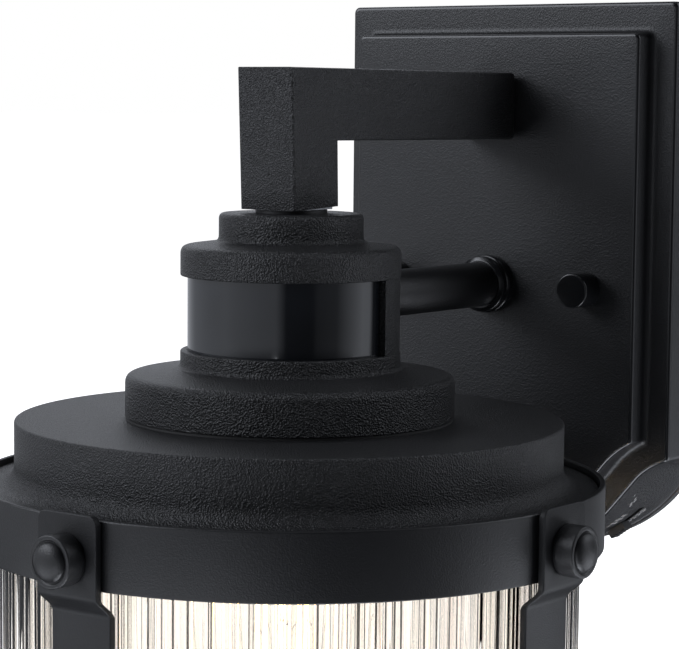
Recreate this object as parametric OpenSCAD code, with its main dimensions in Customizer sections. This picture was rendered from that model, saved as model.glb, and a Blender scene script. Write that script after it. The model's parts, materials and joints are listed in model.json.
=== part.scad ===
// Wall lantern with a motion sensor in its neck
//
// A round caged lantern hangs from a square arm on a deep back pan. The wall is
// the plane y = 0, the front is -Y and +Z is up. The origin is the centre of the
// bracket that is screwed to the wall. The lantern hangs on one vertical axis.

/* [Back pan] */
// Width of the back pan
pan_w = 137.8; // [132:0.1:142]
// Distance from the wall to the pan's outer face
pan_d = 50; // [46:0.5:54]
// Height of the pan's top edge above the origin
pan_top = 100; // [96:0.1:110]
// Depth below the origin at which the sides end in a pointed shoulder
pan_shoulder = 59.3; // [57:0.1:61]
// Radius of the hollow curve under each shoulder
cove_r = 26; // [24:0.5:28]
// Radius of the round belly at the foot of the pan
belly_r = 62; // [60:0.5:63]
// Depth of the belly's centre below the origin
belly_drop = 37.5; // [36:0.5:39]
// Thickness of the pan's walls
pan_t = 2.2; // [1.8:0.1:2.6]
// Width of the border around the raised panel
panel_inset = 9.5; // [8.5:0.1:11]
// How much wider the border is along the top than along the sides
top_border = 1.15; // [1:0.05:1.3]
// Height of the raised panel above the outer face
panel_h = 9.3; // [8:0.1:10]

/* [Arm and neck] */
// Distance from the wall to the lantern's vertical axis
reach = 175.5; // [172:0.5:185]
// Width of the square arm and post
arm_s = 22.4; // [21:0.1:24]
// Wall thickness of the arm and post
arm_t = 1.8; // [1.5:0.1:2]
// Height of the arm's centre line above the origin
arm_z = 63.8; // [62:0.1:66]
// Height of the post's lower end above the origin
post_foot = 30.4; // [30:0.1:32]
// Outer radius of the conduit tube
conduit_r = 7.95; // [7.5:0.05:8.5]

/* [Sensor head] */
// Radius of the head's small top tier
crown_r = 23.2; // [22:0.1:25]
// Radius of the head's wide tier
head_r = 35.4; // [35:0.1:36]
// Outer radius of the curved lens
lens_r = 33.1; // [32.5:0.1:33.1]
// Radius of the foot flange
flange_r = 53; // [52:0.1:55]
// Angle that the lens covers
lens_angle = 192; // [185:1:210]

/* [Lantern] */
// Radius of the flat top of the lid
lid_r = 88.2; // [87:0.1:89]
// Radius of the top band and of the bottom ring
band_r = 101.6; // [101.4:0.1:102]
// Height of the top band and of the bottom ring
band_h = 20.9; // [20:0.1:22]
// Clear glass height between the band and the ring
glass_show = 165; // [160:1:175]
// Outer radius of the ribbed glass
glass_r = 94; // [93:0.1:94.2]
// Wall thickness of the glass
glass_t = 4; // [3:0.1:5]
// Width of the four straps
strap_w = 23; // [20:0.1:24]
// Thickness of the straps
strap_t = 2.3; // [2:0.1:2.5]
// How far each strap steps in towards the glass
strap_jog = 6; // [5:0.1:6.2]

/* [Fasteners and control] */
// Radius of the thumb knobs
knob_r = 7.9; // [7:0.1:9]
// Depth of the thumb knobs at their rim
knob_d = 7; // [6.5:0.1:8]
// Height of the dome above the rim of a knob
knob_dome = 2.4; // [1:0.1:3]
// Distance between the two studs that carry the pan
stud_gap = 80; // [78:0.5:84]
// Distance between the two wall screw holes of the bracket
screw_gap = 88.9; // [82:0.1:92]
// Radius of the wall screw holes
screw_hole_r = 2.4; // [2.2:0.1:2.7]
// Radius of the cap nuts
cap_r = 6.1; // [5.5:0.1:6.5]
// Length of the cap nuts
cap_l = 9.6; // [8.5:0.1:10]
// Travel of the time slider
slider_travel = 9.4; // [9:0.1:9.4]

/* [Hidden] */
$fn = 96;

eps = 1;            // overrun of a cutting tool past the face it cuts
fit = 0.05;         // radial clearance of a shaft in its hole
gasket_t = 1.5;     // thickness of the gasket against the wall
panel_y = pan_d + panel_h;
cove_lead = 15;     // slope of the outline where the cove leaves the shoulder
arc_steps = 12;
plastic_black = [0.06, 0.06, 0.065];
coat_black = [0.09, 0.09, 0.1];

// Pan outline: two circles, the cove outside and the belly inside, and the
// straight line that touches both. A positive inset shrinks it evenly.
cove_c = [pan_w / 2 + cove_r * sin(cove_lead),
    -pan_shoulder - cove_r * cos(cove_lead)];
belly_c = [0, -belly_drop];
link = belly_c - cove_c;
turn = atan2(link[1], link[0]) - acos((cove_r + belly_r) / norm(link));

// Lantern heights, counted down from the origin
seam_z = -55.3;     // top edge of the band
lid_recess = 3;     // how far below that edge the lid's foot sits
seat_z = seam_z - lid_recess;
band_foot = seam_z - band_h;
ring_top = band_foot - glass_show;
ring_foot = ring_top - band_h;
mid_z = (band_foot + ring_top) / 2;
sheet_t = 1.8;      // thickness of the band, the ring and their flanges
lip_r = 84;         // inner radius of the band's and the ring's flanges
lid_top = -36.8;
head_foot = -36.1;
lens_top = 9.1;
lens_foot = -14.8;
crown_top = 29.3;
pad_t = 2;          // thickness of the gaskets at the ends of the glass
glass_top = seat_z - sheet_t - pad_t;
glass_foot = ring_foot + sheet_t + pad_t;
face_r = band_r + 0.3 + strap_t;
knob_z = -67.2;
stud_r = 2;
stem_r = 5;
ring_angles = [0, 90, 180, 270];

function arc(c, r, a0, a1, n = arc_steps) =
    [for (i = [0:n]) let (a = a0 + (a1 - a0) * i / n) c + r * [cos(a), sin(a)]];
function pan_half(inset) = let (
    side = pan_w / 2 - inset,
    shoulder = acos((side - cove_c[0]) / (cove_r + inset)),
    corner = 2,
    top = pan_top - top_border * inset) concat(
        arc(belly_c, belly_r - inset, -90, turn - 180),
        arc(cove_c, cove_r + inset, turn, shoulder),
        arc([side - corner, top - corner], corner, 0, 90, 4));
function pan_outline(inset) = let (half = pan_half(inset)) concat(
    half, [for (i = [len(half) - 1:-1:1]) [-half[i][0], half[i][1]]]);

// A slab with the pan's outline between two distances from the wall
module slab(inset, near, far) {
    translate([0, -near, 0])
        rotate([90, 0, 0])
            linear_extrude(far - near) polygon(pan_outline(inset));
}

// A shaft square to the wall between two distances from it
module shaft(x, z, r, near, far, sides = 0) {
    translate([x, -near, z])
        rotate([90, 0, 0])
            cylinder(r = r, h = far - near, $fn = sides > 0 ? sides : $fn);
}

// A prism across X from a side view drawn as [y, z]
module side_prism(points, w) {
    translate([-w / 2, 0, 0])
        rotate([90, 0, 90])
            linear_extrude(w) polygon(points);
}

module at_axis() {
    translate([0, -reach, 0]) children();
}

module ring(r_out, r_in, low, high) {
    translate([0, 0, low])
        difference() {
            cylinder(r = r_out, h = high - low);
            translate([0, 0, -eps]) cylinder(r = r_in, h = high - low + 2 * eps);
        }
}

// A straight round rod from one point to another
module rod(a, b, r) {
    d = b - a;
    translate(a)
        rotate([0, acos(d[2] / norm(d)), atan2(d[1], d[0])])
            cylinder(r = r, h = norm(d), $fn = 16);
}

// An insulated conductor, with a slightly larger ball at each bend
module wire(points, r) {
    for (i = [0:len(points) - 2]) rod(points[i], points[i + 1], r);
    for (i = [1:len(points) - 2]) translate(points[i]) sphere(r = 1.2 * r, $fn = 24);
}

// A pan-head screw along Z, with its head below z = 0
module screw(r, shank, head_r, head_h) {
    cylinder(r = r, h = shank);
    translate([0, 0, -head_h]) cylinder(r = head_r, h = head_h);
}

// Place for the time slider: +X out of the belly, +Z up along it
slider_angle = 53.5;
slider_y = 21;
module at_slider() {
    translate([0, -slider_y, -belly_drop])
        rotate([0, slider_angle, 0])
            translate([belly_r, 0, 0]) children();
}

// ---- Back pan and wall parts

stud_hole_r = 2.4;
wire_hole_r = 3.5;
arm_screw_off = 6;
slot_w = 4;
slot_l = 16;
boss_x = 31;
boss_z = -40;
boss_h = 5;
rim_out = 1.3;
rim_t = 3;

module backplate() {
    color(coat_black) {
        difference() {
            union() {
                slab(0, gasket_t, pan_d);
                slab(panel_inset, pan_d - eps, panel_y);
                slab(-rim_out, gasket_t, gasket_t + rim_t);
            }
            slab(pan_t, gasket_t - eps, pan_d - pan_t);
            slab(panel_inset + pan_t, pan_d - pan_t - eps, panel_y - pan_t);
            for (x = [-stud_gap / 2, stud_gap / 2])
                shaft(x, 0, stud_hole_r, pan_d, panel_y + eps);
            shaft(0, 0, conduit_r + fit, pan_d, panel_y + eps);
            shaft(0, arm_z, wire_hole_r, pan_d, panel_y + eps);
            for (s = [-1, 1])
                shaft(s * arm_screw_off, arm_z - s * arm_screw_off, 1.8, pan_d, panel_y + eps);
            at_slider()
                translate([-2 * pan_t, -slot_w / 2, -slot_l / 2])
                    cube([3 * pan_t, slot_w, slot_l]);
        }
        for (x = [-boss_x, boss_x])
            difference() {
                shaft(x, boss_z, 4, panel_y - pan_t - boss_h, panel_y - pan_t);
                shaft(x, boss_z, 1.3, panel_y - pan_t - boss_h - eps, panel_y - pan_t - 1);
            }
    }
}

module wall_gasket() {
    color("dimgray")
        difference() {
            slab(-0.8, 0, gasket_t);
            slab(4, -eps, gasket_t + eps);
        }
}

bracket_t = 2.5;
bracket_w = 20;
bracket_l = 106;
module wall_bracket() {
    color("silver")
        difference() {
            union() {
                for (size = [[bracket_l, bracket_w], [bracket_w, bracket_l]])
                    translate([-size[0] / 2, -bracket_t, -size[1] / 2])
                        cube([size[0], bracket_t, size[1]]);
            }
            for (z = [-screw_gap / 2, screw_gap / 2])
                shaft(0, z, screw_hole_r, -eps, bracket_t + eps);
            for (x = [-stud_gap / 2, stud_gap / 2])
                shaft(x, 0, stud_r + fit, -eps, bracket_t + eps);
            shaft(0, 0, 5.5, -eps, bracket_t + eps);
            shaft(18, 0, 1.65, -eps, bracket_t + eps);
        }
}

module mount_studs() {
    color("silver")
        for (x = [-stud_gap / 2, stud_gap / 2])
            shaft(x, 0, stud_r, 0, panel_y + cap_l - 3);
}

module stud_nuts() {
    color("silver")
        for (x = [-stud_gap / 2, stud_gap / 2])
            difference() {
                shaft(x, 0, 4.6, bracket_t, bracket_t + 3.2, 6);
                shaft(x, 0, stud_r + fit, 0, bracket_t + 5);
            }
}

// Round nut with a flat closed face
module cap_nuts() {
    color(coat_black)
        for (x = [-stud_gap / 2, stud_gap / 2])
            translate([x, -panel_y, 0])
                rotate([90, 0, 0])
                    rotate_extrude()
                        polygon(concat(
                            [[stud_r + fit, 0], [cap_r, 0]],
                            arc([cap_r - 0.6, cap_l - 0.6], 0.6, 0, 90, 4),
                            [[0, cap_l], [0, cap_l - 2.5], [stud_r + fit, cap_l - 2.5]]));
}

module ground_screw() {
    color("green")
        translate([18, -bracket_t, 0])
            rotate([90, 0, 0])
                mirror([0, 0, 1]) screw(1.6, bracket_t - 0.2, 3.6, 2.2);
}

// ---- Arm and post, two square tubes that meet in a mitre

half_s = arm_s / 2;
bore_s = half_s - arm_t;
arm_end = reach - panel_y;

// Side view of the post, drawn from the lantern's axis
function post_side(h, low) =
    [[-h, low], [h, low], [h, arm_z - h], [-h, arm_z + h]];
function beam_side(h, far) =
    [[-h, arm_z + h], [h, arm_z - h], [far, arm_z - h], [far, arm_z + h]];

module arm_post() {
    color(coat_black)
        at_axis() difference() {
            side_prism(post_side(half_s, post_foot), arm_s);
            side_prism(post_side(bore_s, post_foot - eps), 2 * bore_s);
        }
}

module arm_beam() {
    color(coat_black)
        at_axis() difference() {
            side_prism(beam_side(half_s, arm_end), arm_s);
            side_prism(beam_side(bore_s, arm_end + eps), 2 * bore_s);
        }
}

plug_s = 2 * bore_s - 0.1;
plug_h = 8;
module arm_plug() {
    color("silver")
        difference() {
            translate([-plug_s / 2, -panel_y - plug_h, arm_z - plug_s / 2])
                cube([plug_s, plug_h, plug_s]);
            shaft(0, arm_z, wire_hole_r, panel_y - eps, panel_y + plug_h + eps);
            for (s = [-1, 1])
                shaft(s * arm_screw_off, arm_z - s * arm_screw_off, 1.6,
                    panel_y - eps, panel_y + plug_h + eps);
        }
}

plate_t = 2.5;
module arm_plate() {
    back = panel_y - pan_t;
    color("silver")
        difference() {
            translate([-30, -back, arm_z - 13]) cube([60, plate_t, 26]);
            shaft(0, arm_z, wire_hole_r, back - plate_t - eps, back + eps);
            for (s = [-1, 1])
                shaft(s * arm_screw_off, arm_z - s * arm_screw_off, 1.8,
                    back - plate_t - eps, back + eps);
        }
}

module arm_screws() {
    back = panel_y - pan_t - plate_t;
    color("silver")
        for (s = [-1, 1])
            translate([s * arm_screw_off, -back, arm_z - s * arm_screw_off])
                rotate([90, 0, 0]) screw(1.55, 10, 2.8, 2);
}

module post_plug() {
    color("silver")
        at_axis() difference() {
            translate([-plug_s / 2, -plug_s / 2, post_foot])
                cube([plug_s, plug_s, plug_h]);
            translate([0, 0, post_foot - eps])
                cylinder(r = stem_r + fit, h = plug_h + 2 * eps);
        }
}

// Threaded tube that carries the whole lantern
stem_foot = -52;
module stem() {
    color("silver") at_axis() ring(stem_r, stem_r - 1.6, stem_foot, post_foot + plug_h + 2);
}

module post_washer() {
    color(coat_black) at_axis() ring(11.5, stem_r + fit, crown_top, post_foot);
}

module lid_nut() {
    color("silver")
        at_axis() translate([0, 0, lid_top - sheet_t - 4])
            difference() {
                cylinder(r = 9, h = 4, $fn = 6);
                translate([0, 0, -eps]) cylinder(r = stem_r + fit, h = 4 + 2 * eps);
            }
}

// ---- Conduit between the sensor head and the pan

conduit_near = 52;
conduit_front = reach - head_r + 4.4;
module conduit_tube() {
    color(coat_black)
        difference() {
            shaft(0, 0, conduit_r, conduit_near, conduit_front);
            shaft(0, 0, conduit_r - 1.3, conduit_near - eps, conduit_front + eps);
        }
}

// Collar with two beads against the raised panel
bead_r = 1.7;
module conduit_ferrule() {
    color(coat_black)
        translate([0, -panel_y, 0])
            rotate([90, 0, 0])
                rotate_extrude()
                    polygon(concat([[conduit_r + fit, 0]],
                        arc([conduit_r + 0.8, bead_r], bead_r, -90, 70, 8),
                        arc([conduit_r + 0.5, 3 * bead_r], bead_r, -70, 90, 8),
                        [[conduit_r + fit, 4 * bead_r]]));
}

module conduit_nut() {
    back = panel_y - pan_t;
    color("silver")
        difference() {
            shaft(0, 0, 12, back - 4, back, 6);
            shaft(0, 0, conduit_r + fit, back - 5, back + eps);
        }
}

// ---- Sensor head

shell_t = 2.2;
boss_ring = 43;
module sensor_housing() {
    pillar = 360 - lens_angle;
    color(plastic_black)
        at_axis() difference() {
            union() {
                rotate_extrude() polygon(concat(
                    [[stem_r + 0.1, crown_top - shell_t], [stem_r + 0.1, crown_top]],
                    arc([crown_r - 1.2, crown_top - 1.2], 1.2, 90, 0, 4),
                    arc([crown_r + 1.4, 21.6], 1.4, 180, 265, 4),
                    arc([head_r - 2.2, 16.6], 2.2, 80, 0, 5),
                    [[head_r, lens_top], [head_r - shell_t, lens_top],
                     [head_r - shell_t, 16], [crown_r - shell_t, 17.6],
                     [crown_r - shell_t, crown_top - shell_t]]));
                rotate([0, 0, 90 - pillar / 2])
                    rotate_extrude(angle = pillar)
                        translate([head_r - 4, lens_foot - 0.5])
                            square([3.85, lens_top - lens_foot + 1]);
                rotate_extrude() polygon(concat(
                    [[head_r, lens_foot]],
                    arc([head_r + 2, -18.8], 2, 180, 260, 4),
                    arc([flange_r - 2.6, -25.4], 2.6, 82, 0, 6),
                    [[flange_r, head_foot], [flange_r - shell_t - 0.3, head_foot],
                     [flange_r - shell_t - 0.3, -26], [head_r - shell_t, -23.2],
                     [head_r - shell_t, lens_foot]]));
                for (a = [30, 150, 270])
                    rotate([0, 0, a])
                        translate([boss_ring, 0, head_foot + 2])
                            cylinder(r = 3.2, h = 10.8);
            }
            for (a = [30, 150, 270])
                rotate([0, 0, a])
                    translate([boss_ring, 0, head_foot])
                        cylinder(r = 1.25, h = 9);
            rotate([-90, 0, 0]) cylinder(r = conduit_r + fit, h = head_r + 5);
        }
}

// The lens is a curved strip whose edges sit behind the shell above and below
module sensor_lens() {
    gap = 0.15;
    tuck = 1.5;
    color([0.03, 0.03, 0.04])
        at_axis() rotate([0, 0, 90 + (360 - lens_angle) / 2 + gap])
            rotate_extrude(angle = lens_angle - 2 * gap)
                translate([lens_r - 2, lens_foot - tuck])
                    square([2, lens_top - lens_foot + 2 * tuck]);
}

board_z = 3;
module sensor_board() {
    color("darkgreen")
        at_axis() difference() {
            ring(30, 8, board_z, board_z + 1.6);
            translate([-10, 0, board_z - eps]) cube([20, 35, 4]);
        }
}

can_r = 4.1;
module sensor_detectors() {
    color("silver")
        at_axis() for (a = [-60, 0, 60])
            rotate([0, 0, a])
                translate([0, -20, board_z - can_r])
                    rotate([90, 0, 0]) cylinder(r = can_r, h = 5);
}

base_t = 2;
module sensor_base() {
    color(plastic_black)
        at_axis() difference() {
            ring(flange_r - shell_t - 0.4, stem_r + 0.1, head_foot, head_foot + base_t);
            for (a = [30, 150, 270])
                rotate([0, 0, a])
                    translate([boss_ring, 0, head_foot]) {
                        translate([0, 0, -eps]) cylinder(r = 1.4, h = 4);
                        translate([0, 0, -eps]) cylinder(r = 2.6, h = eps + 1);
                    }
        }
}

module sensor_screws() {
    color("silver")
        at_axis() for (a = [30, 150, 270])
            rotate([0, 0, a])
                translate([boss_ring, 0, head_foot + 1]) screw(1.2, 7, 2.5, 0.9);
}

module head_gasket() {
    color("dimgray") at_axis() ring(flange_r - 0.4, 38, lid_top, head_foot);
}

// ---- Lid and top band

lid_t = 1.8;
ledge_r = 79.5;
ledge_h = 6;
lid_screw_r = 84;
lid_screw_off = 45;

// Cast lid: flat top, straight wall, hollow cove and a thin flange sunk into the band
module lantern_lid() {
    cove = 6;
    rim = 0.5;
    rim_r = band_r - sheet_t - 0.4;
    cove_z = seat_z + 2 * rim + cove;
    color(coat_black)
        at_axis() difference() {
            rotate_extrude() polygon(concat(
                [[stem_r + 0.1, lid_top - lid_t], [stem_r + 0.1, lid_top]],
                arc([lid_r - 1.5, lid_top - 1.5], 1.5, 90, 0, 4),
                arc([lid_r + cove, cove_z], cove, 180, 266, 10),
                arc([rim_r - rim, seat_z + rim], rim, 86, 0, 6),
                [[rim_r, seat_z], [ledge_r, seat_z], [ledge_r, seat_z + ledge_h],
                 [lid_r - lid_t, seat_z + ledge_h + 4], [lid_r - lid_t, lid_top - lid_t]]));
            for (a = ring_angles)
                rotate([0, 0, a + lid_screw_off])
                    translate([lid_screw_r, 0, seat_z - eps]) cylinder(r = 1.6, h = 5.5);
        }
}

// Side view of the wall and the flange, drawn as [radius, height], with the flange
// a distance below the wall's edge
function band_side(drop) = let (inner = band_r - sheet_t) concat(
    [[band_r, -band_h], [band_r, -0.5], [band_r - 0.5, 0]],
    drop > 0 ? [[inner, 0], [inner, -drop]] : [],
    [[lip_r, -drop], [lip_r, -drop - sheet_t], [inner, -drop - sheet_t], [inner, -band_h]]);

module radial_holes(z, r) {
    for (a = ring_angles)
        rotate([0, 0, a])
            translate([0, -band_r + 3, z])
                rotate([90, 0, 0]) cylinder(r = r, h = 6);
}

// The flange carries the lid, so its screw holes sit inside the glass
screw_lip_r = 80;
module top_band() {
    color(coat_black)
        at_axis() difference() {
            union() {
                translate([0, 0, seam_z]) rotate_extrude() polygon(band_side(lid_recess));
                ring(lip_r + eps, screw_lip_r, seat_z - sheet_t, seat_z);
            }
            for (a = ring_angles)
                rotate([0, 0, a + lid_screw_off])
                    translate([lid_screw_r, 0, seat_z - 5]) cylinder(r = 1.8, h = 10);
            radial_holes(knob_z, stud_r + fit);
        }
}

module lid_screws() {
    color("silver")
        at_axis() for (a = ring_angles)
            rotate([0, 0, a + lid_screw_off])
                translate([lid_screw_r, 0, seat_z - sheet_t]) screw(1.55, 6, 2.9, 2);
}

// Weld studs through the band, one for each thumb knob
module knob_studs() {
    head = 1;
    color("silver")
        at_axis() for (a = ring_angles)
            rotate([0, 0, a])
                translate([0, -(band_r - sheet_t - head), knob_z])
                    rotate([90, 0, 0]) {
                        cylinder(r = stud_r, h = face_r - band_r + sheet_t + head + 4.5);
                        cylinder(r = 3.5, h = head - 0.1);
                    }
}

// Thumb knob: rim, groove and a domed centre
knob_gap = 0.2;
knob_bore = 5.2;
module thumb_knob(a) {
    dome_r = 0.72 * knob_r;
    groove = 0.7;
    rim_z = knob_d;
    color(coat_black)
        at_axis() rotate([0, 0, a])
            translate([0, -(face_r + knob_gap), knob_z])
                rotate([90, 0, 0])
                    rotate_extrude() polygon(concat(
                        [[stud_r + fit, 0], [knob_r - 0.5, 0], [knob_r, 0.5]],
                        arc([knob_r - 0.6, rim_z - 0.6], 0.6, 0, 90, 4),
                        [[dome_r + 0.6, rim_z], [dome_r + 0.2, rim_z - groove]],
                        [for (i = [0:8]) let (t = 90 * i / 8)
                            [dome_r * cos(t), rim_z - groove + (knob_dome + groove) * sin(t)]],
                        [[0, knob_bore], [stud_r + fit, knob_bore]]));
}

module knob_front() { thumb_knob(0); }
module knob_right() { thumb_knob(90); }
module knob_back() { thumb_knob(180); }
module knob_left() { thumb_knob(270); }

// ---- Straps and bottom ring

tab_top = seam_z + 1.5;
jog_top = -77.6;
jog_h = 7.2;
jog_steps = 8;

// Outer face of the upper half of a strap, as [radius, height], top to middle
function strap_half() = concat(
    [[face_r, tab_top]],
    [for (i = [0:jog_steps]) let (t = i / jog_steps)
        [face_r - strap_jog * (1 - cos(180 * t)) / 2, jog_top - jog_h * t]]);
function strap_face() = let (half = strap_half()) concat(
    half, [for (i = [len(half) - 1:-1:0]) [half[i][0], 2 * mid_z - half[i][1]]]);
function strap_side() = let (face = strap_face()) concat(
    [for (p = face) [-p[0], p[1]]],
    [for (i = [len(face) - 1:-1:0]) [-face[i][0] + strap_t, face[i][1]]]);

// Rounded rectangle made of exact arcs
module round_rect(w, h, r) {
    square([w - 2 * r, h], center = true);
    square([w, h - 2 * r], center = true);
    for (x = [-1, 1], y = [-1, 1])
        translate([x * (w / 2 - r), y * (h / 2 - r)]) circle(r = r);
}

module strap(a) {
    full = 2 * (tab_top - mid_z);
    color(coat_black)
        at_axis() rotate([0, 0, a])
            difference() {
                intersection() {
                    side_prism(strap_side(), strap_w);
                    translate([0, -face_r + strap_t + strap_jog + eps, mid_z])
                        rotate([90, 0, 0])
                            linear_extrude(strap_t + strap_jog + 2 * eps)
                                round_rect(strap_w, full, 3);
                }
                for (z = [knob_z, 2 * mid_z - knob_z])
                    translate([0, -face_r + strap_t + eps, z])
                        rotate([90, 0, 0]) cylinder(r = 2.4, h = strap_t + 2 * eps);
            }
}

module strap_front() { strap(0); }
module strap_right() { strap(90); }
module strap_back() { strap(180); }
module strap_left() { strap(270); }

module bottom_ring() {
    color(coat_black)
        at_axis() difference() {
            translate([0, 0, ring_foot])
                mirror([0, 0, 1]) rotate_extrude() polygon(band_side(0));
            radial_holes(2 * mid_z - knob_z, stud_r + fit);
        }
}

// Rivets that hold the straps to the bottom ring
module strap_rivets() {
    inner = band_r - sheet_t;
    color(coat_black)
        at_axis() for (a = ring_angles)
            rotate([0, 0, a])
                translate([0, 0, 2 * mid_z - knob_z])
                    rotate([90, 0, 0]) {
                        translate([0, 0, inner - 1])
                            cylinder(r = stud_r, h = face_r - inner + 1.5);
                        translate([0, 0, inner - 1.2]) cylinder(r = 3.6, h = 1.1);
                        translate([0, 0, face_r])
                            rotate_extrude() polygon(concat([[0, 0]],
                                [for (i = [0:6]) let (t = 90 * i / 6)
                                    [4.2 * cos(t), 2.2 * sin(t)]]));
                    }
}

// ---- Glass and lamp

module glass_top_gasket() {
    color("dimgray") at_axis()
        ring(glass_r + 0.5, glass_r - glass_t - 0.5, glass_top, glass_top + pad_t);
}

module glass_foot_gasket() {
    color("dimgray") at_axis()
        ring(glass_r + 0.5, glass_r - glass_t - 0.5, ring_foot + sheet_t, glass_foot);
}

module glass_shade() {
    color([0.85, 0.9, 0.92, 0.35])
        at_axis() ring(glass_r, glass_r - glass_t, glass_foot, glass_top);
}

holder_top = -46;
holder_seat = -60;
holder_foot = -92;
shell_r = 13.8;
module holder_cap() {
    color("silver")
        at_axis() difference() {
            translate([0, 0, holder_seat]) cylinder(r = 20, h = holder_top - holder_seat);
            translate([0, 0, holder_seat - eps])
                cylinder(r = 18, h = holder_top - holder_seat + eps - 2);
            translate([0, 0, holder_top - 3]) cylinder(r = stem_r + fit, h = 4);
        }
}

module holder_body() {
    color("white")
        at_axis() difference() {
            translate([0, 0, holder_foot]) cylinder(r = 19, h = holder_seat - holder_foot);
            translate([0, 0, holder_foot - eps])
                cylinder(r = shell_r + fit, h = holder_seat - holder_foot - 5);
        }
}

module holder_shell() {
    color("gold") at_axis() ring(shell_r, shell_r - 0.6, holder_foot + 1, holder_seat - 6.1);
}

contact_z = -68;
module holder_contact() {
    color("gold")
        at_axis() translate([0, 0, contact_z])
            cylinder(r = 4, h = holder_seat - 6 - contact_z);
}

lamp_neck = -94;
bulb_r = 30;
bulb_z = -148;
module lamp_cap() {
    color("silver") at_axis() ring(13.1, 12.3, lamp_neck, contact_z - 3);
}

module lamp_tip() {
    color("gold")
        at_axis() translate([0, 0, contact_z - 3])
            rotate_extrude() polygon([[0, 0], [12.3, 0], [12.3, 0.6], [4, 0.8], [3.4, 2.6], [0, 2.6]]);
}

// Outline of the bulb, drawn as [radius, height] from the foot to the neck
function bulb_side(r, neck) = concat(
    arc([0, bulb_z], r, -90, 42, 20),
    [[neck + 3.2, bulb_z + 33], [neck + 0.8, bulb_z + 42], [neck, lamp_neck]]);
module lamp_glass() {
    outer = bulb_side(bulb_r, 13.1);
    inner = bulb_side(bulb_r - 1, 12.1);
    color([1, 0.95, 0.85, 0.35])
        at_axis() rotate_extrude()
            polygon(concat(outer, [for (i = [len(inner) - 1:-1:0]) inner[i]]));
}

support_foot = -150;
module lamp_support() {
    color("silver")
        at_axis() {
            translate([0, 0, support_foot]) cylinder(r = 1.6, h = lamp_neck - support_foot);
            translate([0, 0, lamp_neck - 6]) cylinder(r = 5, h = 6);
        }
}

module lamp_filaments() {
    color("orange")
        at_axis() for (a = [45:90:315])
            rotate([0, 0, a])
                rod([3.5, 0, lamp_neck - 14], [10, 0, support_foot + 6], 0.9);
}

// ---- Time slider and its switch

slide_rest = -slider_travel / 2;
switch_face = -3.45;
module switch_body() {
    color(plastic_black)
        at_slider() difference() {
            translate([switch_face - 9.5, -7, -12]) cube([9.5, 14, 24]);
            translate([switch_face - 2, -4.3, -9.6]) cube([3, 8.6, 19.2]);
        }
}

module time_slider() {
    stem_w = 3.2;
    stem_l = 6;
    color(plastic_black)
        at_slider() translate([0, 0, slide_rest]) {
            translate([-4, -stem_w / 2, -stem_l / 2]) cube([5, stem_w, stem_l]);
            translate([switch_face - 1.7, -4, -4.5]) cube([1.5, 8, 9]);
            difference() {
                translate([0.35, -2.7, -3.6]) cube([2.6, 5.4, 7.2]);
                for (z = [-2.4, -0.8, 0.8, 2.4])
                    translate([2.5, -3, z - 0.4]) cube([1, 6, 0.8]);
            }
        }
}

// ---- Parts inside the pan

module_back = panel_y - pan_t - boss_h;
module relay_module() {
    color(plastic_black)
        difference() {
            union() {
                translate([-25, -module_back, -60]) cube([50, 22, 40]);
                translate([-36, -module_back, boss_z - 5]) cube([72, 2, 10]);
            }
            for (x = [-boss_x, boss_x])
                shaft(x, boss_z, 1.6, module_back - 3, module_back + eps);
        }
}

module module_screws() {
    color("silver")
        for (x = [-boss_x, boss_x])
            translate([x, -(module_back - 2), boss_z])
                rotate([90, 0, 0]) screw(1.25, 5.5, 2.6, 1.8);
}

join_x = -31;
join_y = -36;
join_z = [18, 28, 38];
wire_r = 0.9;
module wire_connectors() {
    color("orangered")
        for (z = join_z)
            translate([join_x, join_y, z])
                rotate([0, -90, 0]) cylinder(r1 = 4.6, r2 = 2.6, h = 17);
}

// Three conductors from the sensor board through the conduit
module sensor_wires() {
    y = join_y - 1.8;
    color("gray")
        for (i = [0:2])
            wire([[0, -(conduit_front + 2), 3 * (i - 1)], [0, -46, 3 * (i - 1)],
                [join_x + 5, y, join_z[i]], [join_x, y, join_z[i]]], wire_r);
}

// Two conductors from the lampholder up the stem and along the arm
module lamp_wires() {
    y = join_y + 1.8;
    color("gray")
        for (i = [0:1])
            let (x = 1.6 * (2 * i - 1), z = join_z[2 - i])
                wire([[x, -reach, stem_foot - 4], [x, -reach, arm_z],
                    [x, -48, arm_z], [join_x + 5, y, z], [join_x, y, z]], wire_r);
}

backplate();
wall_gasket();
wall_bracket();
mount_studs();
stud_nuts();
cap_nuts();
ground_screw();
arm_beam();
arm_plug();
arm_plate();
arm_screws();
arm_post();
post_plug();
stem();
post_washer();
lid_nut();
conduit_tube();
conduit_ferrule();
conduit_nut();
sensor_housing();
sensor_lens();
sensor_board();
sensor_detectors();
sensor_base();
sensor_screws();
head_gasket();
lantern_lid();
top_band();
lid_screws();
knob_studs();
knob_front();
knob_right();
knob_back();
knob_left();
strap_front();
strap_right();
strap_back();
strap_left();
bottom_ring();
strap_rivets();
glass_top_gasket();
glass_foot_gasket();
glass_shade();
holder_cap();
holder_body();
holder_shell();
holder_contact();
lamp_cap();
lamp_tip();
lamp_glass();
lamp_support();
lamp_filaments();
switch_body();
time_slider();
relay_module();
module_screws();
sensor_wires();
lamp_wires();
wire_connectors();
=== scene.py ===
"""Looks for the wall lantern: detailed pieces, materials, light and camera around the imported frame."""

import json
import math
import random

import bmesh
import bpy
from mathutils import Matrix, Vector

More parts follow.
